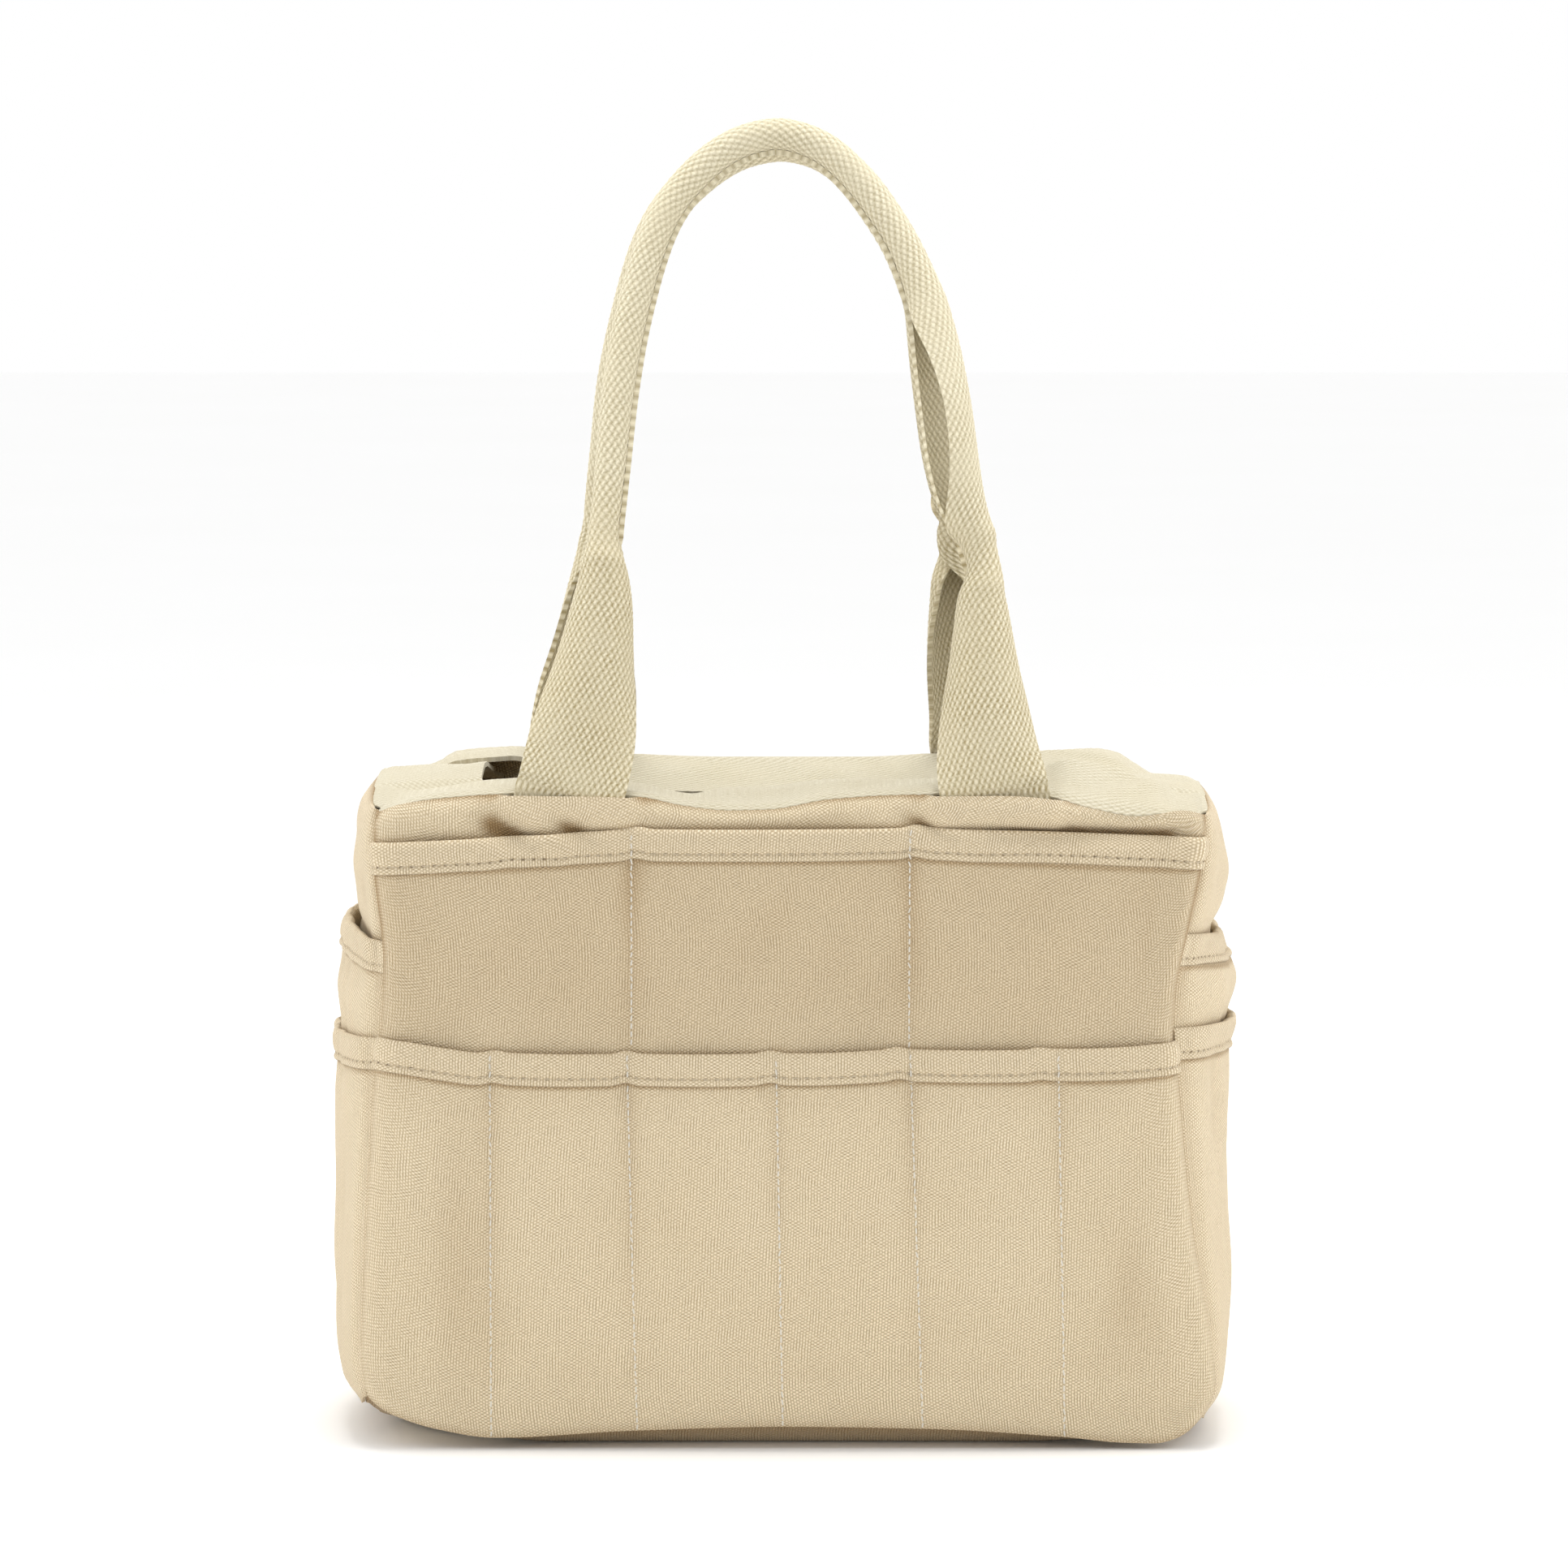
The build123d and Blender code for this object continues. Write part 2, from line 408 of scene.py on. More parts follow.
def canvas_material(name, light, shadow, hemmed=False):
    """Plain-weave duck: columns of raised dots, slubs and cloudy fading, with painted shade in its hollows, or
    on a binding painted shade in the stitch pits and a painted shadow along its lower edge.
    """
    n = Nodes(name)
    vector, u, v = n.cloth_place()
    wu, wv = wobbly(n, vector, u, v)
    columns_share = n.between(n.noise(vector, 0.16, 2.0), 0.36, 0.64, 0.12, 0.62)
    weave = n.duck(wu, wv, columns_share)
    slubs = n.math("SUBTRACT", n.noise(vector, 0.9, 3.0, 0.6), 0.5)
    clouds = n.noise(vector, 0.02, 3.0, 0.5)
    height = n.math("MULTIPLY_ADD", slubs, 0.8, weave)
    tone = n.math("MULTIPLY_ADD", height, 0.58, 0.5)
    color = n.blend(tone, shadow, light)
    color = n.blend(n.between(clouds, 0.35, 0.7, 0.0, 0.35), color, (0.93, 0.91, 0.87), "MULTIPLY")
    if hemmed:
        # Painted shade in the stitch pits: the binding darkened in short dashes along its row of stitching.
        from_seam = n.math("ABSOLUTE", n.math("SUBTRACT", v, SEWN_AT))
        near = n.between(from_seam, 0.12, 0.55, 1.0, 0.0)
        gap = n.math("COSINE", n.math("MULTIPLY", u, 2 * math.pi / STITCH))
        stitch_pit_shade = n.math("MULTIPLY", near, n.between(gap, 0.2, 0.85, 0.0, 0.85))
        color = n.blend(stitch_pit_shade, color, (0.16, 0.11, 0.06))
        # Painted shadow: a dark line along the binding's lower edge, where it stands over the cloth below.
        color = n.blend(n.between(v, BINDING - 0.5, BINDING, 0.0, 0.75), color, (0.25, 0.18, 0.10))
    else:
        # Painted shade: the cloth is darkened in its folds, at its seams and foot, and beside the pocket hems.
        color = n.blend(n.hollow(), color, (0.52, 0.41, 0.28), "MULTIPLY")
    return n.finish(color, height, 0.24, 0.9, 0.1)


def webbing_material(name, light, dark, relief, grip_paler=0.0):
    """Heavy cotton webbing: pale pebbles with painted shade in the gaps, fine fibres, and a grip painted paler
    as painted light.
    """
    n = Nodes(name)
    vector, u, v = n.cloth_place()
    wander = n.math("MULTIPLY", n.math("SUBTRACT", n.noise(vector, 0.45, 2.0), 0.5), 0.9)
    lobes = n.pebbles(n.math("ADD", u, wander), n.math("SUBTRACT", v, wander))
    fibres = n.math("SUBTRACT", n.noise(vector, 2.0, 4.0, 0.7), 0.5)
    clouds = n.noise(vector, 0.03, 3.0)
    lively = n.between(n.noise(vector, 0.07, 3.0), 0.35, 0.65, 0.6, 1.0)
    raised = n.math("MULTIPLY", n.math("SUBTRACT", lobes, 0.6), lively)
    rough = n.math("MULTIPLY_ADD", fibres, 1.2, raised)
    # The colour follows the relief: painted shade darkens the gaps between the pebbles, and the fibres add
    # their own uneven tone.
    color = n.blend(n.between(rough, -0.55, 0.5, 0.0, 1.0), dark, light)
    color = n.blend(n.between(clouds, 0.35, 0.65, 0.0, 0.4), color, (0.93, 0.9, 0.82), "MULTIPLY")
    # Painted light: the grip is painted paler, for the light that falls on the wrapped grip from above and
    # from the sides.
    if grip_paler:
        from_apex = n.math("ABSOLUTE", n.math("SUBTRACT", u, GRIP_MIDDLE))
        on_grip = n.between(from_apex, 145.0, 180.0, grip_paler, 0.0)
        color = n.blend(on_grip, color, (0.93, 0.89, 0.72))
    return n.finish(color, rough, relief, 0.88, 0.12)


def thread_material(name, light, dark):
    """Spun thread, with its twist."""
    n = Nodes(name)
    _, u, v = n.cloth_place()
    twist = n.math("SINE", n.math("MULTIPLY", n.math("ADD", u, v), 2 * math.pi / 0.5))
    color = n.blend(n.between(twist, -1.0, 1.0, 0.0, 1.0), dark, light)
    return n.finish(color, twist, 0.05, 0.8, 0.1)


canvas = canvas_material("canvas", (0.92, 0.795, 0.59), (0.38, 0.285, 0.155))
tape = canvas_material("binding", (0.90, 0.775, 0.575), (0.35, 0.26, 0.14), hemmed=True)
webbing = webbing_material("webbing", (0.93, 0.86, 0.665), (0.35, 0.275, 0.125), 0.36, 0.2)
rim_cotton = webbing_material("rim_cotton", (0.69, 0.65, 0.525), (0.45, 0.395, 0.27), 0.2)
thread = thread_material("thread", (0.70, 0.60, 0.44), (0.52, 0.43, 0.29))
pale_thread = thread_material("pale_thread", (0.86, 0.82, 0.74), (0.62, 0.57, 0.48))
core_cotton = thread_material("core_cotton", (0.80, 0.75, 0.60), (0.55, 0.48, 0.34))


# ---------------------------------------------------------------- the sagging body
# How far each upright seam stands outside its nominal place, at some heights.
SEAM_LEAN = {
    (FRONT, LEFT): ((8, 2.0), (20, 4.5), (32, 5.9), (76, 4.0), (120, 1.4), (172, -1.7), (215, 2.0),
                    (230, 0.5)),
    (FRONT, RIGHT): ((8, 3.0), (22, 9.0), (45, 6.5), (72, 1.4), (116, -3.4), (150, -5.6), (162, -4.8),
                     (182, -0.9), (208, 4.2), (222, 6.2), (230, 5.0)),
    (BACK, LEFT): ((8, 3.0), (24, 7.5), (60, 4.0), (110, -1.0), (150, -3.0), (190, 1.0), (215, 3.5),
                   (230, 1.5)),
    (BACK, RIGHT): ((8, 2.0), (22, 5.5), (60, 4.5), (112, 1.0), (160, -2.0), (200, 1.5), (230, 1.0)),
}
# Height of the bottom seam along the front and back, from the left corner to the right one.
FOOT_LONG = {
    FRONT: ((-146, 19), (-142, 15), (-137, 12), (-124, 7.6), (-103, 4.4), (-55, 7.0), (0, 8.6), (50, 7.8),
            (97, 4.9), (120, 2.6), (131, 2.4), (138, 4.0), (143, 7.0), (146, 11)),
    BACK: ((-146, 14), (-138, 7.0), (-126, 3.4), (-80, 3.8), (-20, 6.8), (40, 5.6), (100, 3.0),
           (126, 3.8), (138, 7.5), (146, 14)),
}
# Height of the bottom seam along the two sides, from the front corner to the back one.
FOOT_SIDE = {
    LEFT: ((-72, 19), (-66, 17), (-56, 13.5), (-40, 11), (0, 7.5), (40, 6.0), (58, 8.0), (72, 14)),
    RIGHT: ((-72, 11), (-66, 10), (-54, 7.5), (-36, 5.0), (0, 3.2), (42, 4.4), (58, 7.5), (72, 14)),
}
# Height of the rim's outer edge along the front and back.
RIM_LONG = {
    FRONT: ((-146, 224.5), (-138, 227.6), (-125, 229.6), (-98, 231.2), (-72, 231.0), (-54, 230.2),
            (-38, 227.2), (-22, 225.6), (-8, 225.9), (14, 229.4), (40, 230.9), (74, 231.2), (92, 230.0),
            (106, 226.6), (122, 224.0), (138, 225.6), (149, 222.6)),
    BACK: ((-148, 225.0), (-136, 226.0), (-129, 228.0), (-123, 231.8), (-110, 233.2), (-100, 233.6),
           (-60, 231.8), (-20, 230.6), (30, 230.6), (60, 232.0), (100, 232.8), (117, 233.4), (125, 232.0),
           (132, 227.6), (138, 225.0), (148, 222.4)),
}
RIM_SIDE = {
    LEFT: ((-74, 224.5), (-40, 229.5), (0, 230.5), (40, 229.5), (74, 225.5)),
    RIGHT: ((-74, 222.6), (-40, 226.6), (0, 227.6), (40, 225.0), (74, 222.4)),
}
# How far the pocket hems stand above their nominal height: the upper ones, then the lower ones. Each row of
# stitching lifts the hem a little.
LONG_HEM = (
    ((-146, -3.4), (-120, -2.0), (-93, -0.5), (-60, 1.6), (-53.5, 2.6), (-47, 1.7), (0, 1.8), (38, 2.2),
     (44, 3.2), (50, 2.2), (91, 0.8), (146, -1.4)),
    ((-147, 3.2), (-138, 2.4), (-120, -0.2), (-109, -1.6), (-103, -0.9), (-97, -1.7), (-61, -2.3),
     (-55, -1.3), (-49, -2.2), (-9, -1.9), (-2.5, -0.9), (4, -1.8), (38, -0.8), (44, 0.2), (50, -0.8),
     (90, -0.5), (96, 0.3), (102, -0.2), (120, 0.2), (147, 1.8)),
)
SIDE_HEM = {
    LEFT: (((-74, -1.5), (0, 1.4), (74, 0.0)), ((-74, 2.4), (0, -0.6), (74, -1.0))),
    RIGHT: (((-74, 1.0), (0, -4.4), (74, -2.0)), ((-74, 6.0), (0, 2.8), (74, 1.0))),
}
# How far the middle of each side swells beyond the seams, by height, and the slack of its two pockets.
SIDE_BELLY = {
    LEFT: ((0, 9), (40, 11), (120, 11), (180, 10), (214, 10), (222, 9), (231, 3.2)),
    RIGHT: ((0, 8), (40, 10), (120, 10), (150, 10), (175, 11.5), (192, 15.3), (206, 14.5), (216, 13.0),
            (224, 9.5), (231, 3.6)),
}
SIDE_SLACK = {
    LEFT: (((0, 0.6), (60, 2.0), (130, 3.4), (143, 6.0), (156, 7.2), (168, 5.0), (181, 4.0)),
           ((0, 0.6), (60, 2.5), (120, 2.0), (142, 0.6))),
    RIGHT: (((0, 0.6), (100, 2.0), (138, 3.6), (148, 7.2), (158, 9.6), (165, 7.4), (171, 3.4), (177, 1.6)),
            ((0, 0.6), (60, 3.0), (120, 3.4), (144, 2.2))),
}
SIGN_Y = {FRONT: -1, BACK: 1}
SIGN_X = {LEFT: -1, RIGHT: 1}
SEAM_SETBACK = 4.2  # how far the upright seams stand behind the front and back faces
SEAM_OVERLAP = 0.3  # how far the front and back run in behind the seam line
SIDE_INSET = 0.65  # how far the middle of a side's cloth is behind the seam line
CORNER_ROLL = {LEFT: 8.5, RIGHT: 4.5}  # width of the soft roll beside a seam, crisper at the right
UPPER_DIVIDERS = ((-53.6, -53.4), (43.6, 44.0))  # at the bottom and at the top of the pocket
LOWER_DIVIDERS = ((-103.0, -103.0), (-51.4, -55.2), (-0.3, -2.8), (49.0, 44.2), (98.8, 96.0))


def corner(long_side, short_side, z, tier):
    """Where an upright seam runs, as x and y at given heights. Each layer of cloth is sewn over the last."""
    lean = along(SEAM_LEAN[long_side, short_side], z)
    stacked = LAYER_STEP * tier
    x = SIGN_X[short_side] * (seam_x + lean + stacked)
    y = SIGN_Y[long_side] * (face_y - SEAM_SETBACK + stacked + 0 * z)
    return x, y


def near_strap(x):
    """1 across each handle strap, fading to 0 beside it."""
    half = webbing_width / 2
    beside = [ramp(np.abs(x - strap), half, half + 8) for strap in (strap_left, strap_right)]
    return 1 - np.minimum(*beside)


def divider_x(divider, z, top):
    """Where a row of stitching is across the bag, at a height."""
    low, high = divider
    return mix(low, high, np.clip(z / top, 0, 1))


def pocket_slack(x, z, left, right, dividers, top, fullness):
    """How far a pocket stands off the cloth behind it: most at its mouth, nothing at its stitching."""
    edges = [left] + [divider_x(d, z, top) for d in dividers] + [right]
    slack = np.zeros(np.broadcast(x, z).shape)
    for a, b in zip(edges, edges[1:]):
        t = np.clip((x - a) / (b - a), 0, 1)
        slack += np.where((x >= a) & (x < b), np.sin(math.pi * t) ** 0.75, 0)
    rise = 0.22 + 0.78 * ramp(z, 0.15 * top, top)
    return slack * fullness * rise * ramp(z, 8, 40)


def long_wrinkles(side, x, z):
    """Folds in the front or back face, outwards positive: the soft roll under the rim and the long sags."""
    if side == BACK:
        x = -x + 11
    roll = 1.8 * bump(z, 225, 7) * (1 - 0.5 * bump(x, strap_left, 24) - 0.5 * bump(x, strap_right, 24))
    tucked = 2.4 * bump(z, 226, 5.0) * ramp(x, 55, 92) - 3.4 * bump(z, 217.5, 4.5) * ramp(x, 55, 95)
    slanted = x + 0.9 * (z - 218)
    creases = -3.6 * bump(slanted, -97, 8) * bump(z, 219, 7) - 2.6 * bump(slanted, -73, 6.5) * bump(z, 219, 6)
    creases += 1.4 * bump(slanted, -84, 6) * bump(z, 220, 7) + 1.2 * bump(slanted, -114, 8) * bump(z, 220, 8)
    creases -= 2.4 * bump(x + 1.5 * (z - 220), 50, 6) * bump(z, 221, 6)
    creases += 1.2 * bump(x, 32, 9) * bump(z, 222, 6)
    belly = 4.2 * bump(z, 62, 58) * bump(x, 20, 120) - 1.8 * bump(z, 168, 30) * bump(x, -10, 110)
    upright = 1.5 * bump(x + 0.1 * (z - 80), -118, 16) * bump(z, 70, 55)
    upright -= 1.2 * bump(x, -104, 12) * bump(z, 60, 50)
    right_fold = -1.8 * bump(x - 0.12 * (z - 80), 122, 12) * bump(z, 66, 52)
    sag = 1.0 * bump(z, 19 + 0.01 * x, 6) * bump(x, 40, 120)
    wave = 0.55 * slack_noise(11 if side == FRONT else 12, 70, x, z) + 0.28 * slack_noise(13, 30, x, z)
    return roll + tucked + creases + belly + upright + right_fold + sag + wave * ramp(z, 6, 30)


def long_face(side, u, v, top_z, tier):
    """Points of a cloth on the front or back: u from left to right, v from its foot to its top edge."""
    u, v = np.meshgrid(u, v, indexing="ij")
    across = mix(-seam_x - 5, seam_x + 5, u)
    foot = along(FOOT_LONG[side], across)
    top = top_z(across)
    z = mix(foot, top, v)
    left_x, seam_y = corner(side, LEFT, z, tier)
    right_x, _ = corner(side, RIGHT, z, tier)
    x = mix(left_x, right_x, u)
    edge = np.minimum(x - left_x, right_x - x)
    roll = np.where(x < 0, CORNER_ROLL[LEFT], CORNER_ROLL[RIGHT])
    puffed = np.sqrt(1 - (1 - np.clip(edge / roll, 0, 1)) ** 2)
    tuck = 1.6 * (1 - ramp(z - foot, 0, 7)) ** 2
    out = np.abs(seam_y) - SEAM_OVERLAP + (SEAM_SETBACK - CANVAS / 2 + SEAM_OVERLAP) * puffed - tuck
    out = out + long_wrinkles(side, x, z) * ramp(edge, 0, 16)
    for level in range(tier):
        dividers, tall, fullness = ((UPPER_DIVIDERS, upper_top, 2.8), (LOWER_DIVIDERS, lower_top, 2.3))[level]
        held = pocket_slack(x, z, left_x, right_x, dividers, tall, fullness)
        out = out + (TIER - LAYER_STEP) * puffed + held
    if tier == 0:
        over_strap = near_strap(x)
        out = out + 2.0 * over_strap * ramp(z, top - 16, top - 6)
        out = out - 2.6 * (1 - over_strap) * ramp(z, top - 5, top + 0.5) ** 2
    return stack(x, SIGN_Y[side] * out, z)


def side_face(side, u, v, top_z, tier):
    """Points of a cloth on a short side: u from the front seam to the back seam, v from foot to top."""
    u, v = np.meshgrid(u, v, indexing="ij")
    deep = mix(-face_y, face_y, u)
    foot = along(FOOT_SIDE[side], deep * 0.97)
    z = mix(foot, top_z(deep), v)
    front_x, front_y = corner(FRONT, side, z, tier)
    back_x, back_y = corner(BACK, side, z, tier)
    y = mix(front_y + SIDE_INSET, back_y - SIDE_INSET, u)
    curve = np.sin(math.pi * np.clip(u, 0, 1)) ** 0.62
    belly = along(SIDE_BELLY[side], z) * (1 - 0.5 * (1 - ramp(z - foot, 0, 12)) ** 2)
    wrinkle = 0.9 * slack_noise(21 if side == LEFT else 22, 60, y, z)
    wrinkle = wrinkle + 0.8 * slack_noise(23 if side == LEFT else 24, 26, y * 1.6, z * 0.5)
    wrinkle = wrinkle + 1.3 * bump(z + 0.25 * y, 196, 7) - 1.6 * bump(z - 0.2 * y, 186, 5)
    slack = sum((TIER - LAYER_STEP) * curve + along(knots, z) * curve for knots in SIDE_SLACK[side][:tier])
    to_seam = np.minimum(u, 1 - u) * 2 * face_y
    valley = mix(1.3, 2.4, ramp(z, 185, 205)) * bump(to_seam, 3.4, 2.4)
    out = belly * curve + wrinkle * curve * ramp(z, 6, 30) * (1 - ramp(z, 218, 230)) + slack - valley
    seam_line = SIGN_X[side] * (seam_x + LAYER_STEP * tier)
    wander = (mix(front_x, back_x, u) - seam_line) * (1 - 0.7 * curve)
    x = seam_line + wander + SIGN_X[side] * out
    return stack(x, y, z)


def top_of(side, tier):
    """The height of a cloth's top edge, as a function of the place along its side."""
    if tier == 0:
        knots = RIM_LONG[side] if side in SIGN_Y else RIM_SIDE[side]
        return lambda place: along(knots, place)
    if side in SIGN_X:
        top, knots = (side_upper_top, lower_top)[tier - 1], SIDE_HEM[side][tier - 1]
    else:
        top, knots = (upper_top, lower_top)[tier - 1], LONG_HEM[tier - 1]
    return lambda place: top + along(knots, place)


def panel_name(side, tier):
    """The CAD name of a cloth: the panel itself, or the pocket on one of its two tiers."""
    return f"{side}_" + ("panel", "upper_pocket", "lower_pocket")[tier]


def face_points(side, tier, step):
    """The grid of a cloth, with its outward side by the right-hand rule."""
    long_side = side in SIGN_Y
    wide = 2 * seam_x if long_side else 2 * face_y
    count = int(wide / step)
    rows = int(top_of(side, tier)(0.0) / step)
    u, v = np.linspace(0, 1, count), np.linspace(0, 1, rows)
    build = long_face if long_side else side_face
    grid = build(side, u, v, top_of(side, tier), tier)
    return grid if side in (FRONT, RIGHT) else grid[::-1]


seam_depth = face_y - SEAM_SETBACK - SIDE_INSET


def panel_painted_shade(side, tier, grid):
    """Painted shade for a panel or pocket: in its folds, at its seams and its foot, next to the pocket hems,
    and on the front and back a darker band higher up and soft upright bands.
    """
    long_side = side in SIGN_Y
    place, depth = (grid[..., 0], np.abs(grid[..., 1])) if long_side else (grid[..., 1], np.abs(grid[..., 0]))
    z = grid[..., 2]
    folds = np.clip(sunk(depth, 6) / 1.7, 0, 1) * (0.3 + 0.7 * ramp(z, 150, 205))
    foot = 0.35 * (1 - ramp(z - z[:, :1], 0, 3))
    if long_side:
        # Painted shade: the front and back darker from the upper pockets up to just under the rim.
        shade_higher_up = 0.24 * ramp(z, 110, 165) * (1 - ramp(z, 205, 220))
        # Painted shade in soft upright bands where the cloth drapes, low at the left and at the right.
        drape_shade = 0.2 * bump(place, -114, 9) * bump(z, 66, 46)
        drape_shade += 0.12 * bump(place + 0.3 * z, 140, 9) * bump(z, 52, 36)
        shade = np.maximum(folds, foot) + shade_higher_up + drape_shade
    else:
        to_seam = seam_depth - np.abs(place)
        shade = np.maximum(np.maximum(folds, foot), 0.5 * (1 - ramp(to_seam, 0.5, 2.6)) * ramp(z, 165, 200))
    # Painted shade beside the hems: just above the next pocket's hem, and just under this cloth's own binding.
    if tier < 2:
        above_hem = z - top_of(side, tier + 1)(place)
        shade = np.maximum(shade, 0.55 * (1 - ramp(np.abs(above_hem), 0.3, 3.0)))
    if tier > 0:
        below_band = top_of(side, tier)(place) - BINDING - z
        shade = np.maximum(shade, 0.7 * (1 - ramp(np.abs(below_band), 0.4, 1.8)))
    return np.clip(shade, 0, 1)


def add_panel(side, tier):
    """A panel or pocket of canvas."""
    grid = face_points(side, tier, CLOTH_MESH)
    # The painted shade for this cloth.
    painted_shade_map = panel_painted_shade(side, tier, grid)
    obj = cloth(panel_name(side, tier) + "_cloth", grid, CANVAS, canvas, painted_shade_map)
    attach(obj, "bag")
    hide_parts(panel_name(side, tier))
    tall = float(top_of(side, tier)(0.0))


# The cut of a binding strip round a pocket's edge: distance below the edge, and distance from the middle
# of the pocket's cloth. The outer path runs up the outside, over the top and down the inside.
BINDING_OUTER = ((10.5, 0.70), (10.55, 1.30), (10.2, 1.72), (9.5, 1.90), (8.7, 1.80), (8.15, 1.42),
                 (7.8, 1.10), (7.4, 1.40), (6.8, 1.72), (5.6, 1.92), (4.0, 2.02), (2.4, 1.98),
                 (1.0, 1.82), (0.0, 1.40), (-0.7, 0.75), (-0.9, 0.0), (-0.7, -0.7), (0.0, -1.3),
                 (1.4, -1.6), (5.0, -1.6), (8.6, -1.5), (10.3, -1.45), (10.5, -0.70))
BINDING_INNER_LIMIT = 0.66


def add_binding(side, tier):
    """The folded strip over a pocket's top edge, with its row of stitching."""
    grid = face_points(side, tier, BINDING_MESH)
    n = normals(grid)
    top = grid[:, -1]
    below = np.linalg.norm(np.diff(grid, axis=1), axis=-1)
    distance = np.concatenate([np.cumsum(below[:, ::-1], axis=1)[:, ::-1], np.zeros((len(grid), 1))], axis=1)
    up = unit(grid[:, -1] - grid[:, -3])

    run, _ = lengths(grid[:, -1:].repeat(2, axis=1))
    to_end = np.minimum(run[:, 0], run[-1, 0] - run[:, 0])
    fullness = 1.0 if side in SIGN_Y else mix(0.45, 1.0, ramp(to_end, 0, 7))[:, None]

    def on_cloth(drop):
        points = np.empty_like(top)
        outs = np.empty_like(top)
        for i in range(len(grid)):
            points[i] = points_at(max(drop, 0), distance[i, ::-1], grid[i, ::-1])
            outs[i] = points_at(max(drop, 0), distance[i, ::-1], n[i, ::-1])
        return points + up * max(-drop, 0), unit(outs)

    outer, inner, sewn = [], [], None
    for drop, away in BINDING_OUTER:
        points, outs = on_cloth(drop)
        outer.append(points + outs * away * fullness)
        held = np.clip(away, -BINDING_INNER_LIMIT, BINDING_INNER_LIMIT)
        points, outs = on_cloth(max(drop, 0.1))
        inner.append(points + outs * held)
        if drop == SEWN_AT:
            points, outs = on_cloth(drop)
            sewn = (points + outs * away * fullness, outs)
    outer, inner = np.stack(outer, axis=1), np.stack(inner, axis=1)
    drops = np.array([d for d, _ in BINDING_OUTER])
    back = np.array([a for _, a in BINDING_OUTER]) < 0
    drops = np.where(back, -drops - 4, drops)
    weave = np.stack(np.broadcast_arrays(run[:, :1], drops[None, :]), axis=-1)
    name = panel_name(side, tier) + "_binding"
    obj = shell(name + "_cloth", outer, inner, weave, tape, 70)
    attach(obj, "bag")
    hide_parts(name)
    line, outs = sewn
    seam = stitches(name + "_stitches", line, outs, thread, seed=31 + tier)
    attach(seam, "bag")


def add_divider_stitches(side, tier):
    """The upright rows of stitching that divide a pocket, through its binding and down to its foot."""
    grid = face_points(side, tier, BINDING_MESH)
    n = normals(grid)
    tiers = ((UPPER_DIVIDERS, upper_top, lower_top - 2), (LOWER_DIVIDERS, lower_top, 0))
    dividers, top, low = tiers[tier - 1]
    for number, divider in enumerate(dividers, 1):
        line, outs = [], []
        for j in range(grid.shape[1]):
            z_row = grid[:, j, 2].mean()
            x = divider_x(divider, z_row, top)
            order = np.argsort(grid[:, j, 0])
            point = points_at(x, grid[order, j, 0], grid[order, j])
            out = unit(points_at(x, grid[order, j, 0], n[order, j]))
            if point[2] < low + 2:
                continue
            from_top = top - point[2]
            on_band = 1.25 if from_top < BINDING else 0.0
            line.append(point + out * (CANVAS / 2 + on_band - 0.05))
            outs.append(out)
        name = f"{panel_name(side, tier)}_row_{number}"
        obj = stitches(name, np.array(line), np.array(outs), pale_thread, 2.8, 0.14, 50 + number, 1.35)
        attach(obj, "bag")


def add_base():
    """The base: one sheet turned up to the bottom seam all round, its slack pushed down to the ground."""
    s = np.linspace(-1, 1, 131)
    t = np.linspace(-1, 1, 67)
    s, t = np.meshgrid(s, t, indexing="ij")
    x_at = s * seam_x
    y_at = t * face_y
    foot = np.where(t < 0, along(FOOT_LONG[FRONT], s * 150), along(FOOT_LONG[BACK], s * 150))
    side = np.where(s < 0, along(FOOT_SIDE[LEFT], t * 72), along(FOOT_SIDE[RIGHT], t * 72))
    near_long = (1 - np.abs(t)) * face_y
    near_side = (1 - np.abs(s)) * (seam_x + 8)
    reach_long = mix(13, 80, ramp(np.abs(x_at), 104, 134))
    reach_side = mix(13, 70, ramp(np.abs(y_at), 34, 62))
    rise_long = foot * np.clip(1 - near_long / reach_long, 0, 1) ** 1.6
    rise_side = side * np.clip(1 - near_side / reach_side, 0, 1) ** 1.6
    z = np.maximum(rise_long, rise_side) + CANVAS / 2 + 0.15
    z = z + 0.5 * np.abs(slack_noise(41, 60, x_at, y_at)) * ramp(np.minimum(near_long, near_side), 8, 30)
    backwards = ramp(y_at, -30, 30)
    left_x = mix(corner(FRONT, LEFT, z, 0)[0], corner(BACK, LEFT, z, 0)[0], backwards)
    right_x = mix(corner(FRONT, RIGHT, z, 0)[0], corner(BACK, RIGHT, z, 0)[0], backwards)
    swell = 6.0 * np.cos(t * math.pi / 2) ** 0.5
    x = np.where(s < 0, -s * (left_x - swell), s * (right_x + swell))
    y = t * (face_y - 3.0)
    grid = stack(x, y, z)[:, ::-1]
    # Painted shade on the base's turned-up edges, which stand in shade under the bottom seam.
    turned_up_shade = np.clip(1 - np.minimum(near_long, near_side) / 14, 0, 1)[:, ::-1]
    obj = cloth("base_panel_cloth", grid, CANVAS, canvas, turned_up_shade)
    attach(obj, "bag")
    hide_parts("base_panel")


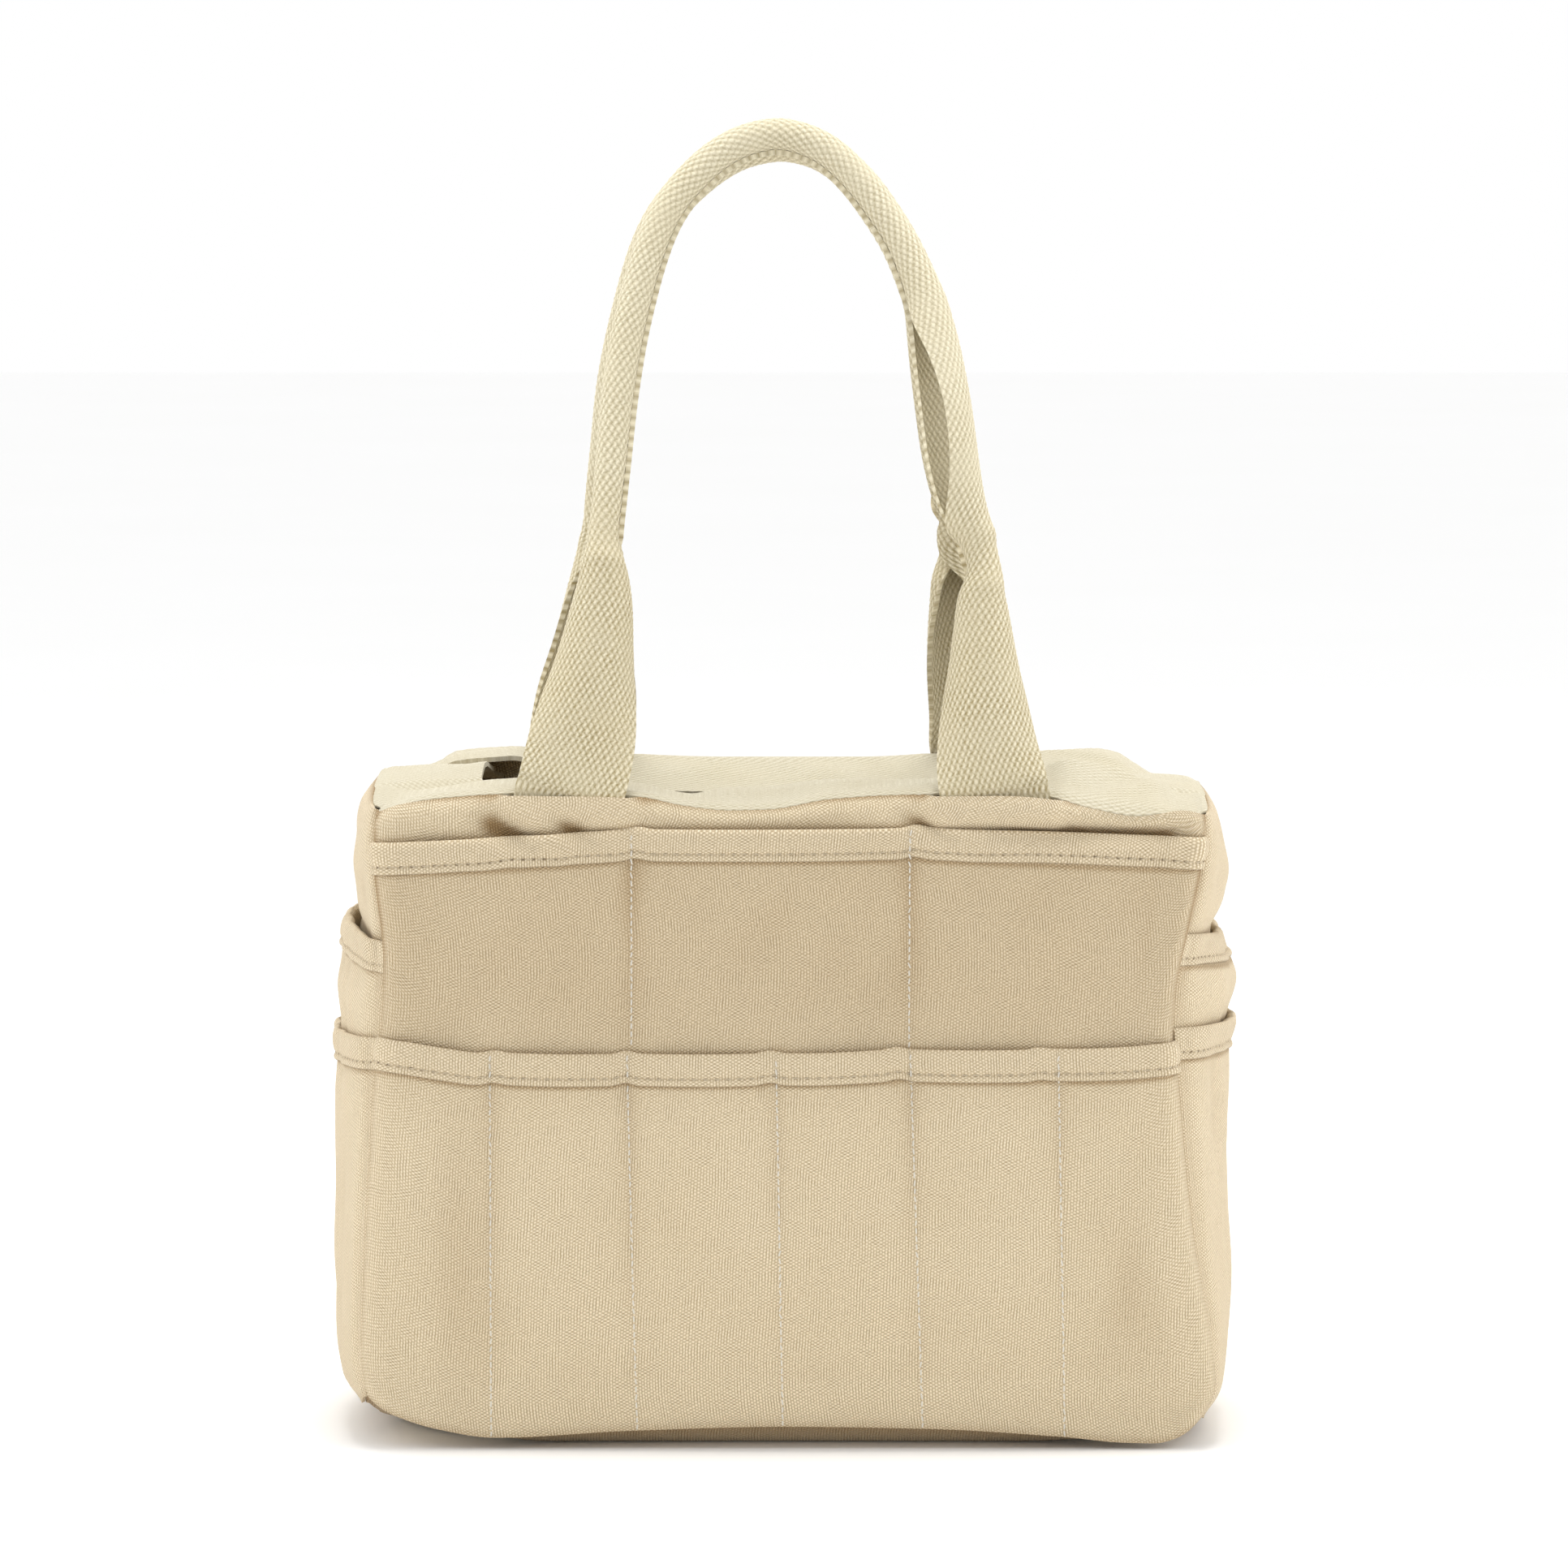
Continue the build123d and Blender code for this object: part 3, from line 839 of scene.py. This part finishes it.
# ---------------------------------------------------------------- the webbing rim
def pebbles(u, v, width):
    """The relief of the webbing: staggered pebbles, flattened into a ribbed selvedge at both edges."""
    turn = 2 * math.pi * u / PEBBLE_ROW
    across = 2 * math.pi * (v + PEBBLE_LEAN * np.sin(turn)) / PEBBLE_ACROSS
    gaps = PEBBLE_ROWS * np.cos(turn) + PEBBLE_GAPS * np.cos(2 * across) + PEBBLE_PLAIN
    bricks = PEBBLE_BRICKS * np.cos(across) * np.cos(turn / 2)
    lobes = np.maximum(bricks + gaps, 0) ** PEBBLE_FULLNESS
    edge = np.minimum(v, width - v)
    selvedge = 0.5 + 0.08 * np.cos(turn)
    return mix(selvedge, lobes, ramp(edge, 0.8, 2.0))


# How the front and back strips lie from their outer edge inwards: degrees of rise, along the bag.
STRIP_TILT = {
    FRONT: ((-146, -1), (-98, 0), (-62, 1), (-50, -0.6), (-34, -1.2), (-20, 4), (10, 3), (60, 1), (88, 5),
            (103, 17), (115, 19), (129, 12), (149, 3)),
    BACK: ((-148, -3), (-112, 0), (-98, 0), (-84, -6), (-66, -14), (-20, -17), (30, -16), (66, -12), (96, -9),
           (108, -7), (120, -6), (134, -3), (148, -2)),
}
RIM_INSET = 3.1  # from the face of the bag to the outer edge of the long strips, behind the handles


def rim_edge(side):
    """The top edge of a panel: how far out and how high it is, as a function of the place along it."""
    points = face_points(side, 0, 2.2)[:, -1]
    along_side, sideways = (0, 1) if side in SIGN_Y else (1, 0)
    points = points[np.argsort(points[:, along_side])]

    def edge_at(place):
        out = np.interp(place, points[:, along_side], np.abs(points[:, sideways]))
        return out, np.interp(place, points[:, along_side], points[:, 2])

    return edge_at


def add_long_rim(side):
    """The webbing along the top edge of the front or back, lying in over the mouth."""
    t = np.linspace(0, 1, int(2 * seam_x / RIM_MESH))
    v = np.linspace(0, webbing_width, int(webbing_width / 0.7))
    t, v = np.meshgrid(t, v, indexing="ij")
    left_x, left_z = rim_edge(LEFT)(SIGN_Y[side] * (face_y - RIM_INSET - v))
    right_x, right_z = rim_edge(RIGHT)(SIGN_Y[side] * (face_y - RIM_INSET - v))
    u = mix(-left_x, right_x, t)
    edge_y, edge_z = rim_edge(side)(u)
    tilt = np.radians(along(STRIP_TILT[side], u))
    droop = 0.9 * slack_noise(61 if side == FRONT else 62, 44, u, v) * ramp(v, 2, 20)
    folds = 1.3 * bump(u - 0.6 * v, 6, 9) + 1.0 * bump(u - 0.8 * v, 104, 6) - 1.1 * bump(u - 0.9 * v, 92, 6)
    z = edge_z + 0.25 + 0.7 * ramp(v, 0, 5) + v * np.sin(tilt) + (droop + folds * ramp(v, 4, 24)) * 0.9
    z = mix(z, np.where(u < 0, left_z, right_z) + 0.5, ramp(np.abs(u), 128, 142))
    y = mix(edge_y + 0.5, face_y - RIM_INSET, near_strap(u)) - v * np.cos(tilt)
    add_rim_piece(f"{side}_rim_webbing", stack(u, SIGN_Y[side] * y, z), v)


def add_side_rim(side):
    """The webbing along the top edge of a side, its ends under the long strips."""
    v = np.linspace(0, webbing_width, int(webbing_width / 0.7))
    u = np.linspace(-face_y + 5, face_y - 5, int(2 * face_y / RIM_MESH))
    u, v = np.meshgrid(u, v, indexing="ij")
    middle = np.cos(u / face_y * math.pi / 2)
    under = 1 - ramp(face_y - np.abs(u), 34, 44)
    curl = 0.8 * ramp(v, 30, 38) * middle
    uneven = 0.5 * slack_noise(71 if side == LEFT else 72, 40, u, v) * ramp(v, 0, 8)
    edge_x, edge_z = rim_edge(side)(u)
    z = edge_z + 0.25 + 0.7 * ramp(v, 0, 5) - 2.4 * under + 1.4 * ramp(v, 0, 20) * middle + curl + uneven
    x = SIGN_X[side] * (edge_x + 0.5 - 2.0 * under - v)
    add_rim_piece(f"{side}_rim_webbing", stack(x, u, z), v)


def add_rim_piece(name, grid, v):
    """A strip of webbing with its pebbled relief, thinner where its outer edge is sewn down."""
    n = normals(grid)
    if n[..., 2].mean() < 0:
        grid, n, v = grid[::-1], -n[::-1], v[::-1]
    run, _ = lengths(grid)
    to_end = np.minimum(run, run.max(axis=0) - run)
    half = mix(0.3, WEBBING / 2 - 0.15, ramp(np.minimum(v, to_end), 0, 4))
    outer = grid + n * (half + 0.26 * pebbles(run, v, webbing_width))[..., None]
    inner = grid - n * half[..., None]
    obj = shell(name + "_cloth", outer, inner, np.stack([run, v], axis=-1), rim_cotton, 60)
    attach(obj, "bag")
    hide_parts(name)


# ---------------------------------------------------------------- the handles
# The middle line of each handle in its own plane: across the bag, and up from the fold line.
HANDLE_ROUTE = {
    FRONT: ((-73.8, 4), (-70.9, 18), (-67.2, 43), (-63.9, 68), (-63.3, 81), (-63.0, 93), (-61.9, 104),
            (-60.6, 118), (-58.3, 143), (-54.3, 168), (-47.8, 194), (-40.6, 211.0), (-30.0, 224.2),
            (-19.0, 232.8), (-8.0, 236.9), (1.5, 237.2), (13.0, 233.0), (23.0, 224.6), (32.8, 212.0),
            (43.2, 194), (53.2, 168), (59.0, 143), (62.4, 118), (64.8, 103), (67.4, 91), (69.8, 80),
            (69.6, 68), (70.2, 43), (71.2, 18), (72.9, 4)),
    BACK: ((-74.8, 4), (-72.9, 18), (-70.2, 43), (-67.6, 68), (-67.0, 81), (-66.8, 93), (-66.0, 104),
           (-64.4, 118), (-61.5, 143), (-56.6, 168), (-49.5, 194), (-41.6, 210), (-30.6, 222),
           (-19.0, 230.2), (-8.0, 234.0), (2.5, 234.6), (14.5, 230.8), (24.8, 222.6), (34.6, 210),
           (44.2, 193), (53.0, 168), (58.2, 143), (61.6, 118), (63.0, 103), (62.8, 92), (62.4, 80),
           (62.8, 64), (65.0, 43), (70.4, 18), (72.4, 4)),
}
# Where the sewn end of a handle runs: inside the fold line, and below it.
TAB_ROUTE = ((3.6, -11), (2.7, -6.5), (1.3, -2.5))
# How far the webbing is curled at heights up each leg, in turns: 0 is flat, 1 a closed tube, more overlaps.
LEFT_CURL = ((0, 0.02), (9, 0.06), (18, 0.14), (43, 0.42), (56, 0.52), (68, 0.62), (78, 0.78), (85, 1.0),
             (91, 1.36), (100, 1.40), (120, 1.32), (150, 1.22), (236, 1.22))
RIGHT_CURL = ((0, 0.02), (8, 0.14), (18, 0.27), (43, 0.50), (58, 0.64), (70, 0.80), (78, 1.10), (84, 1.24),
              (90, 1.0), (98, 0.72), (112, 0.60), (136, 0.57), (154, 0.66), (170, 0.84), (188, 1.10),
              (204, 1.22), (236, 1.22))
# How far its back is turned from facing forwards to facing out of the loop, in degrees.
LEFT_TURN = ((0, 0), (76, 0), (88, 10), (106, 26), (126, 38), (158, 50), (180, 52), (236, 52))
RIGHT_TURN = ((0, 0), (64, 0), (78, 20), (90, 60), (104, 98), (126, 113), (158, 108), (188, 84),
              (214, 60), (236, 50))
HANDLE_STEP = ((0.56, 0.46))  # mesh spacing along the webbing and across it
CURL_STEP = 0.31  # how much wider the wrapped webbing gets with each radian, so that it lies over itself
GRIP_RADIUS = 6.7  # of the wrapped grip's outside in the frame


def smooth_path(points, spacing):
    """Evenly spaced points on a smooth curve through the given ones, and how far along it each is."""
    points = np.array(points, float)
    ends = [2 * points[0] - points[1], *points, 2 * points[-1] - points[-2]]
    t = np.linspace(0, 1, 24, endpoint=False)[:, None]
    pieces = []
    for a, b, c, d in zip(ends, ends[1:], ends[2:], ends[3:]):
        curve = 2 * b + (c - a) * t + (2 * a - 5 * b + 4 * c - d) * t**2 + (3 * b - a - 3 * c + d) * t**3
        pieces.append(0.5 * curve)
    dense = np.concatenate([*pieces, points[-1:]])
    place = np.concatenate([[0], np.cumsum(np.linalg.norm(np.diff(dense, axis=0), axis=1))])
    run = np.linspace(0, place[-1], int(place[-1] / spacing))
    return points_at(run, place, dense), run


def eased(values, width=15):
    """A row of values, averaged with their neighbours."""
    half = width // 2
    return np.convolve(np.pad(values, half, "edge"), np.ones(width) / width, "valid")


def handle_frame(side):
    """A handle at rest: its hinge, and the directions up the handle and out of the bag, square to it."""
    hinge = joint_mm(f"{side}_handle_fold")
    low, high = box_mm(f"{side}_handle_webbing")
    nearest_y = high[1] if side == FRONT else low[1]
    apex = np.array([0, nearest_y + SIGN_Y[side] * GRIP_RADIUS, high[2] - GRIP_RADIUS])
    up = unit(apex - hinge)
    out = SIGN_Y[side] * np.array([0, up[2], -up[1]])
    return hinge, up, out


def handle_line(side):
    """The middle line of a handle's webbing at rest, from its left sewn end to its right one."""
    hinge, up, _ = handle_frame(side)
    free = [hinge + np.array([x, 0, 0]) + b * up for x, b in HANDLE_ROUTE[side]]
    ends = []
    for middle_x in (strap_left, strap_right):
        tab_y = [hinge[1] - SIGN_Y[side] * inside for inside, _ in TAB_ROUTE]
        ends.append([[middle_x, y, hinge[2] + rise] for y, (_, rise) in zip(tab_y, TAB_ROUTE)])
    return smooth_path([*ends[0], *free, *ends[1][::-1]], HANDLE_STEP[0])


def handle_surface(side):
    """The middle surface of a handle's webbing and its outward normals, with its middle line and its curl."""
    hinge, up, out = handle_frame(side)
    line, run = handle_line(side)
    tangent = unit(np.gradient(line, axis=0))
    outward = SIGN_Y[side] * np.cross(tangent, out)
    height = (line - hinge) @ up
    left_leg = np.arange(len(height)) < np.argmax(height)
    curl = eased(np.where(left_leg, along(LEFT_CURL, height), along(RIGHT_CURL, height)))
    turn = np.radians(eased(np.where(left_leg, along(LEFT_TURN, height), along(RIGHT_TURN, height)), 25))
    facing = np.cos(turn)[:, None] * out + np.sin(turn)[:, None] * outward
    facing = unit(facing - np.sum(facing * tangent, axis=1, keepdims=True) * tangent)
    lateral = np.cross(tangent, facing) * -SIGN_Y[side]
    angle = curl * 2 * math.pi
    v = np.linspace(0, webbing_width, int(webbing_width / HANDLE_STEP[1]))
    phi = (v / webbing_width - 0.5)[None, :] * angle[:, None]
    wrapped = ramp(curl, 0.8, 1.05)[:, None]
    radius = (webbing_width / angle)[:, None] - CURL_STEP * wrapped * phi
    centroid = (webbing_width / angle * np.sin(angle / 2) / (angle / 2))[:, None]
    rise = radius * np.cos(phi) - centroid * (1 - wrapped)
    shift = radius * np.sin(phi)
    surface = line[:, None] + facing[:, None] * rise[..., None] + lateral[:, None] * shift[..., None]
    n = facing[:, None] * np.cos(phi)[..., None] + lateral[:, None] * np.sin(phi)[..., None]
    places = np.broadcast_arrays(run[:, None], v[None, :])
    return surface, n, places, line, curl


def add_handle(side):
    """One handle: a single length of webbing, flat where it is sewn in and wrapped into a grip above."""
    surface, n, (run, v), line, curl = handle_surface(side)
    relief = 0.42 * pebbles(run, v, webbing_width)
    outer = surface + n * (WEBBING / 2 - 0.2 + relief)[..., None]
    inner = surface - n * (WEBBING / 2 - 0.2 + relief * 0.5)[..., None]
    weave = np.stack([run, v], axis=-1)
    name = f"{side}_handle"
    obj = shell(name, *outwards(outer, inner, weave, n), webbing, 70)
    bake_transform(obj)
    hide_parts(f"{side}_handle_webbing", f"{side}_handle_left_end", f"{side}_handle_right_end")
    return line, curl


def add_core(side, line, curl):
    """The twisted cotton cord inside the closed part of a grip."""
    hinge, up, out = handle_frame(side)
    in_grip = (curl > 1.15) & ((line - hinge) @ up > CORD_FROM)
    closed = line[in_grip][::3]
    tangent = unit(np.gradient(closed, axis=0))
    run = np.concatenate([[0], np.cumsum(np.linalg.norm(np.diff(closed, axis=0), axis=1))])
    first = unit(np.cross(tangent, out))
    second = np.cross(tangent, first)
    turn = np.linspace(0, 2 * math.pi, 25)
    twist = run[:, None] * 2 * math.pi / CORD_TWIST
    radius = 2.0 + 0.5 * np.abs(np.cos((turn[None, :] + twist) * CORD_STRANDS / 2))
    shape = first[:, None] * np.cos(turn)[None, :, None] + second[:, None] * np.sin(turn)[None, :, None]
    outer = closed[:, None] + shape * radius[..., None]
    inner = closed[:, None] + shape * (radius[..., None] * 0.3)
    weave = np.stack(np.broadcast_arrays(run[:, None], turn[None, :] * 4), axis=-1)
    obj = shell(f"{side}_handle_cord", *outwards(outer, inner, weave, shape), core_cotton, 70)
    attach(obj, f"{side}_handle")
    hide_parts(f"{side}_handle_core")


# ---------------------------------------------------------------- camera, light and floor
VIEW_WIDTH = 0.56195  # of the picture, in metres at the distance of the bag


def add_camera():
    """A long lens nearly level with the rim."""
    elevation, distance, aim_z = math.radians(5.5), 3.0, 0.2281
    data = bpy.data.cameras.new("camera")
    data.sensor_width = 36
    data.lens = data.sensor_width * distance / VIEW_WIDTH
    data.clip_end = 20
    camera = bpy.data.objects.new("camera", data)
    camera.location = (0, -distance * math.cos(elevation), aim_z + distance * math.sin(elevation))
    camera.rotation_euler = (math.pi / 2 - elevation, 0, 0)
    bpy.context.scene.collection.objects.link(camera)
    bpy.context.scene.camera = camera


def add_light(name, place, aim, size, power):
    """A soft box that faces the given point."""
    data = bpy.data.lights.new(name, "AREA")
    data.shape = "RECTANGLE"
    data.size, data.size_y = size
    data.energy = power
    light = bpy.data.objects.new(name, data)
    light.location = place
    direction = np.array(aim) - np.array(place)
    yaw = math.atan2(direction[1], direction[0]) - math.pi / 2
    pitch = math.atan2(direction[2], math.hypot(direction[0], direction[1]))
    light.rotation_euler = (math.pi / 2 + pitch, 0, yaw)
    bpy.context.scene.collection.objects.link(light)


def add_studio():
    """A pale floor under an even white sky, with soft boxes at both sides and above."""
    floor_material = Nodes("floor")
    geometry = floor_material.add("ShaderNodeNewGeometry")
    mottle = floor_material.noise(geometry.outputs[0], 3.0)
    color = floor_material.blend(mottle, (0.965, 0.965, 0.96), (0.985, 0.985, 0.985))
    material = floor_material.finish(color, mottle, 0.02, 0.7, 0.0)
    size = 8.0
    mesh = bpy.data.meshes.new("floor")
    corners = [(-size, -size, 0), (size, -size, 0), (size, size, 0), (-size, size, 0)]
    mesh.from_pydata(corners, [], [(0, 1, 2, 3)])
    mesh.materials.append(material)
    floor = bpy.data.objects.new("floor", mesh)
    bpy.context.scene.collection.objects.link(floor)
    middle = (0, 0, 0.2)
    add_light("left_box", (-1.5, -0.1, 0.7), middle, (0.8, 1.2), 6)
    add_light("right_box", (1.5, -0.1, 0.7), middle, (0.8, 1.2), 7)
    add_light("top_box", (0.0, 0.1, 1.7), middle, (0.8, 0.6), 14)
    world = bpy.data.worlds.new("studio")
    world.use_nodes = True
    background = world.node_tree.nodes["Background"]
    background.inputs[0].default_value = (1, 1, 1, 1)
    background.inputs[1].default_value = 1.0
    bpy.context.scene.world = world
    bpy.context.scene.view_settings.view_transform = "Standard"


# ---------------------------------------------------------------- the whole scene
add_camera()
add_studio()
add_base()
for face in (FRONT, BACK, LEFT, RIGHT):
    for layer in (0, 1, 2):
        add_panel(face, layer)
        if layer > 0:
            add_binding(face, layer)
            if face in SIGN_Y:
                add_divider_stitches(face, layer)
for face in (FRONT, BACK):
    add_long_rim(face)
    middle_line, curled = add_handle(face)
    add_core(face, middle_line, curled)
for face in (LEFT, RIGHT):
    add_side_rim(face)
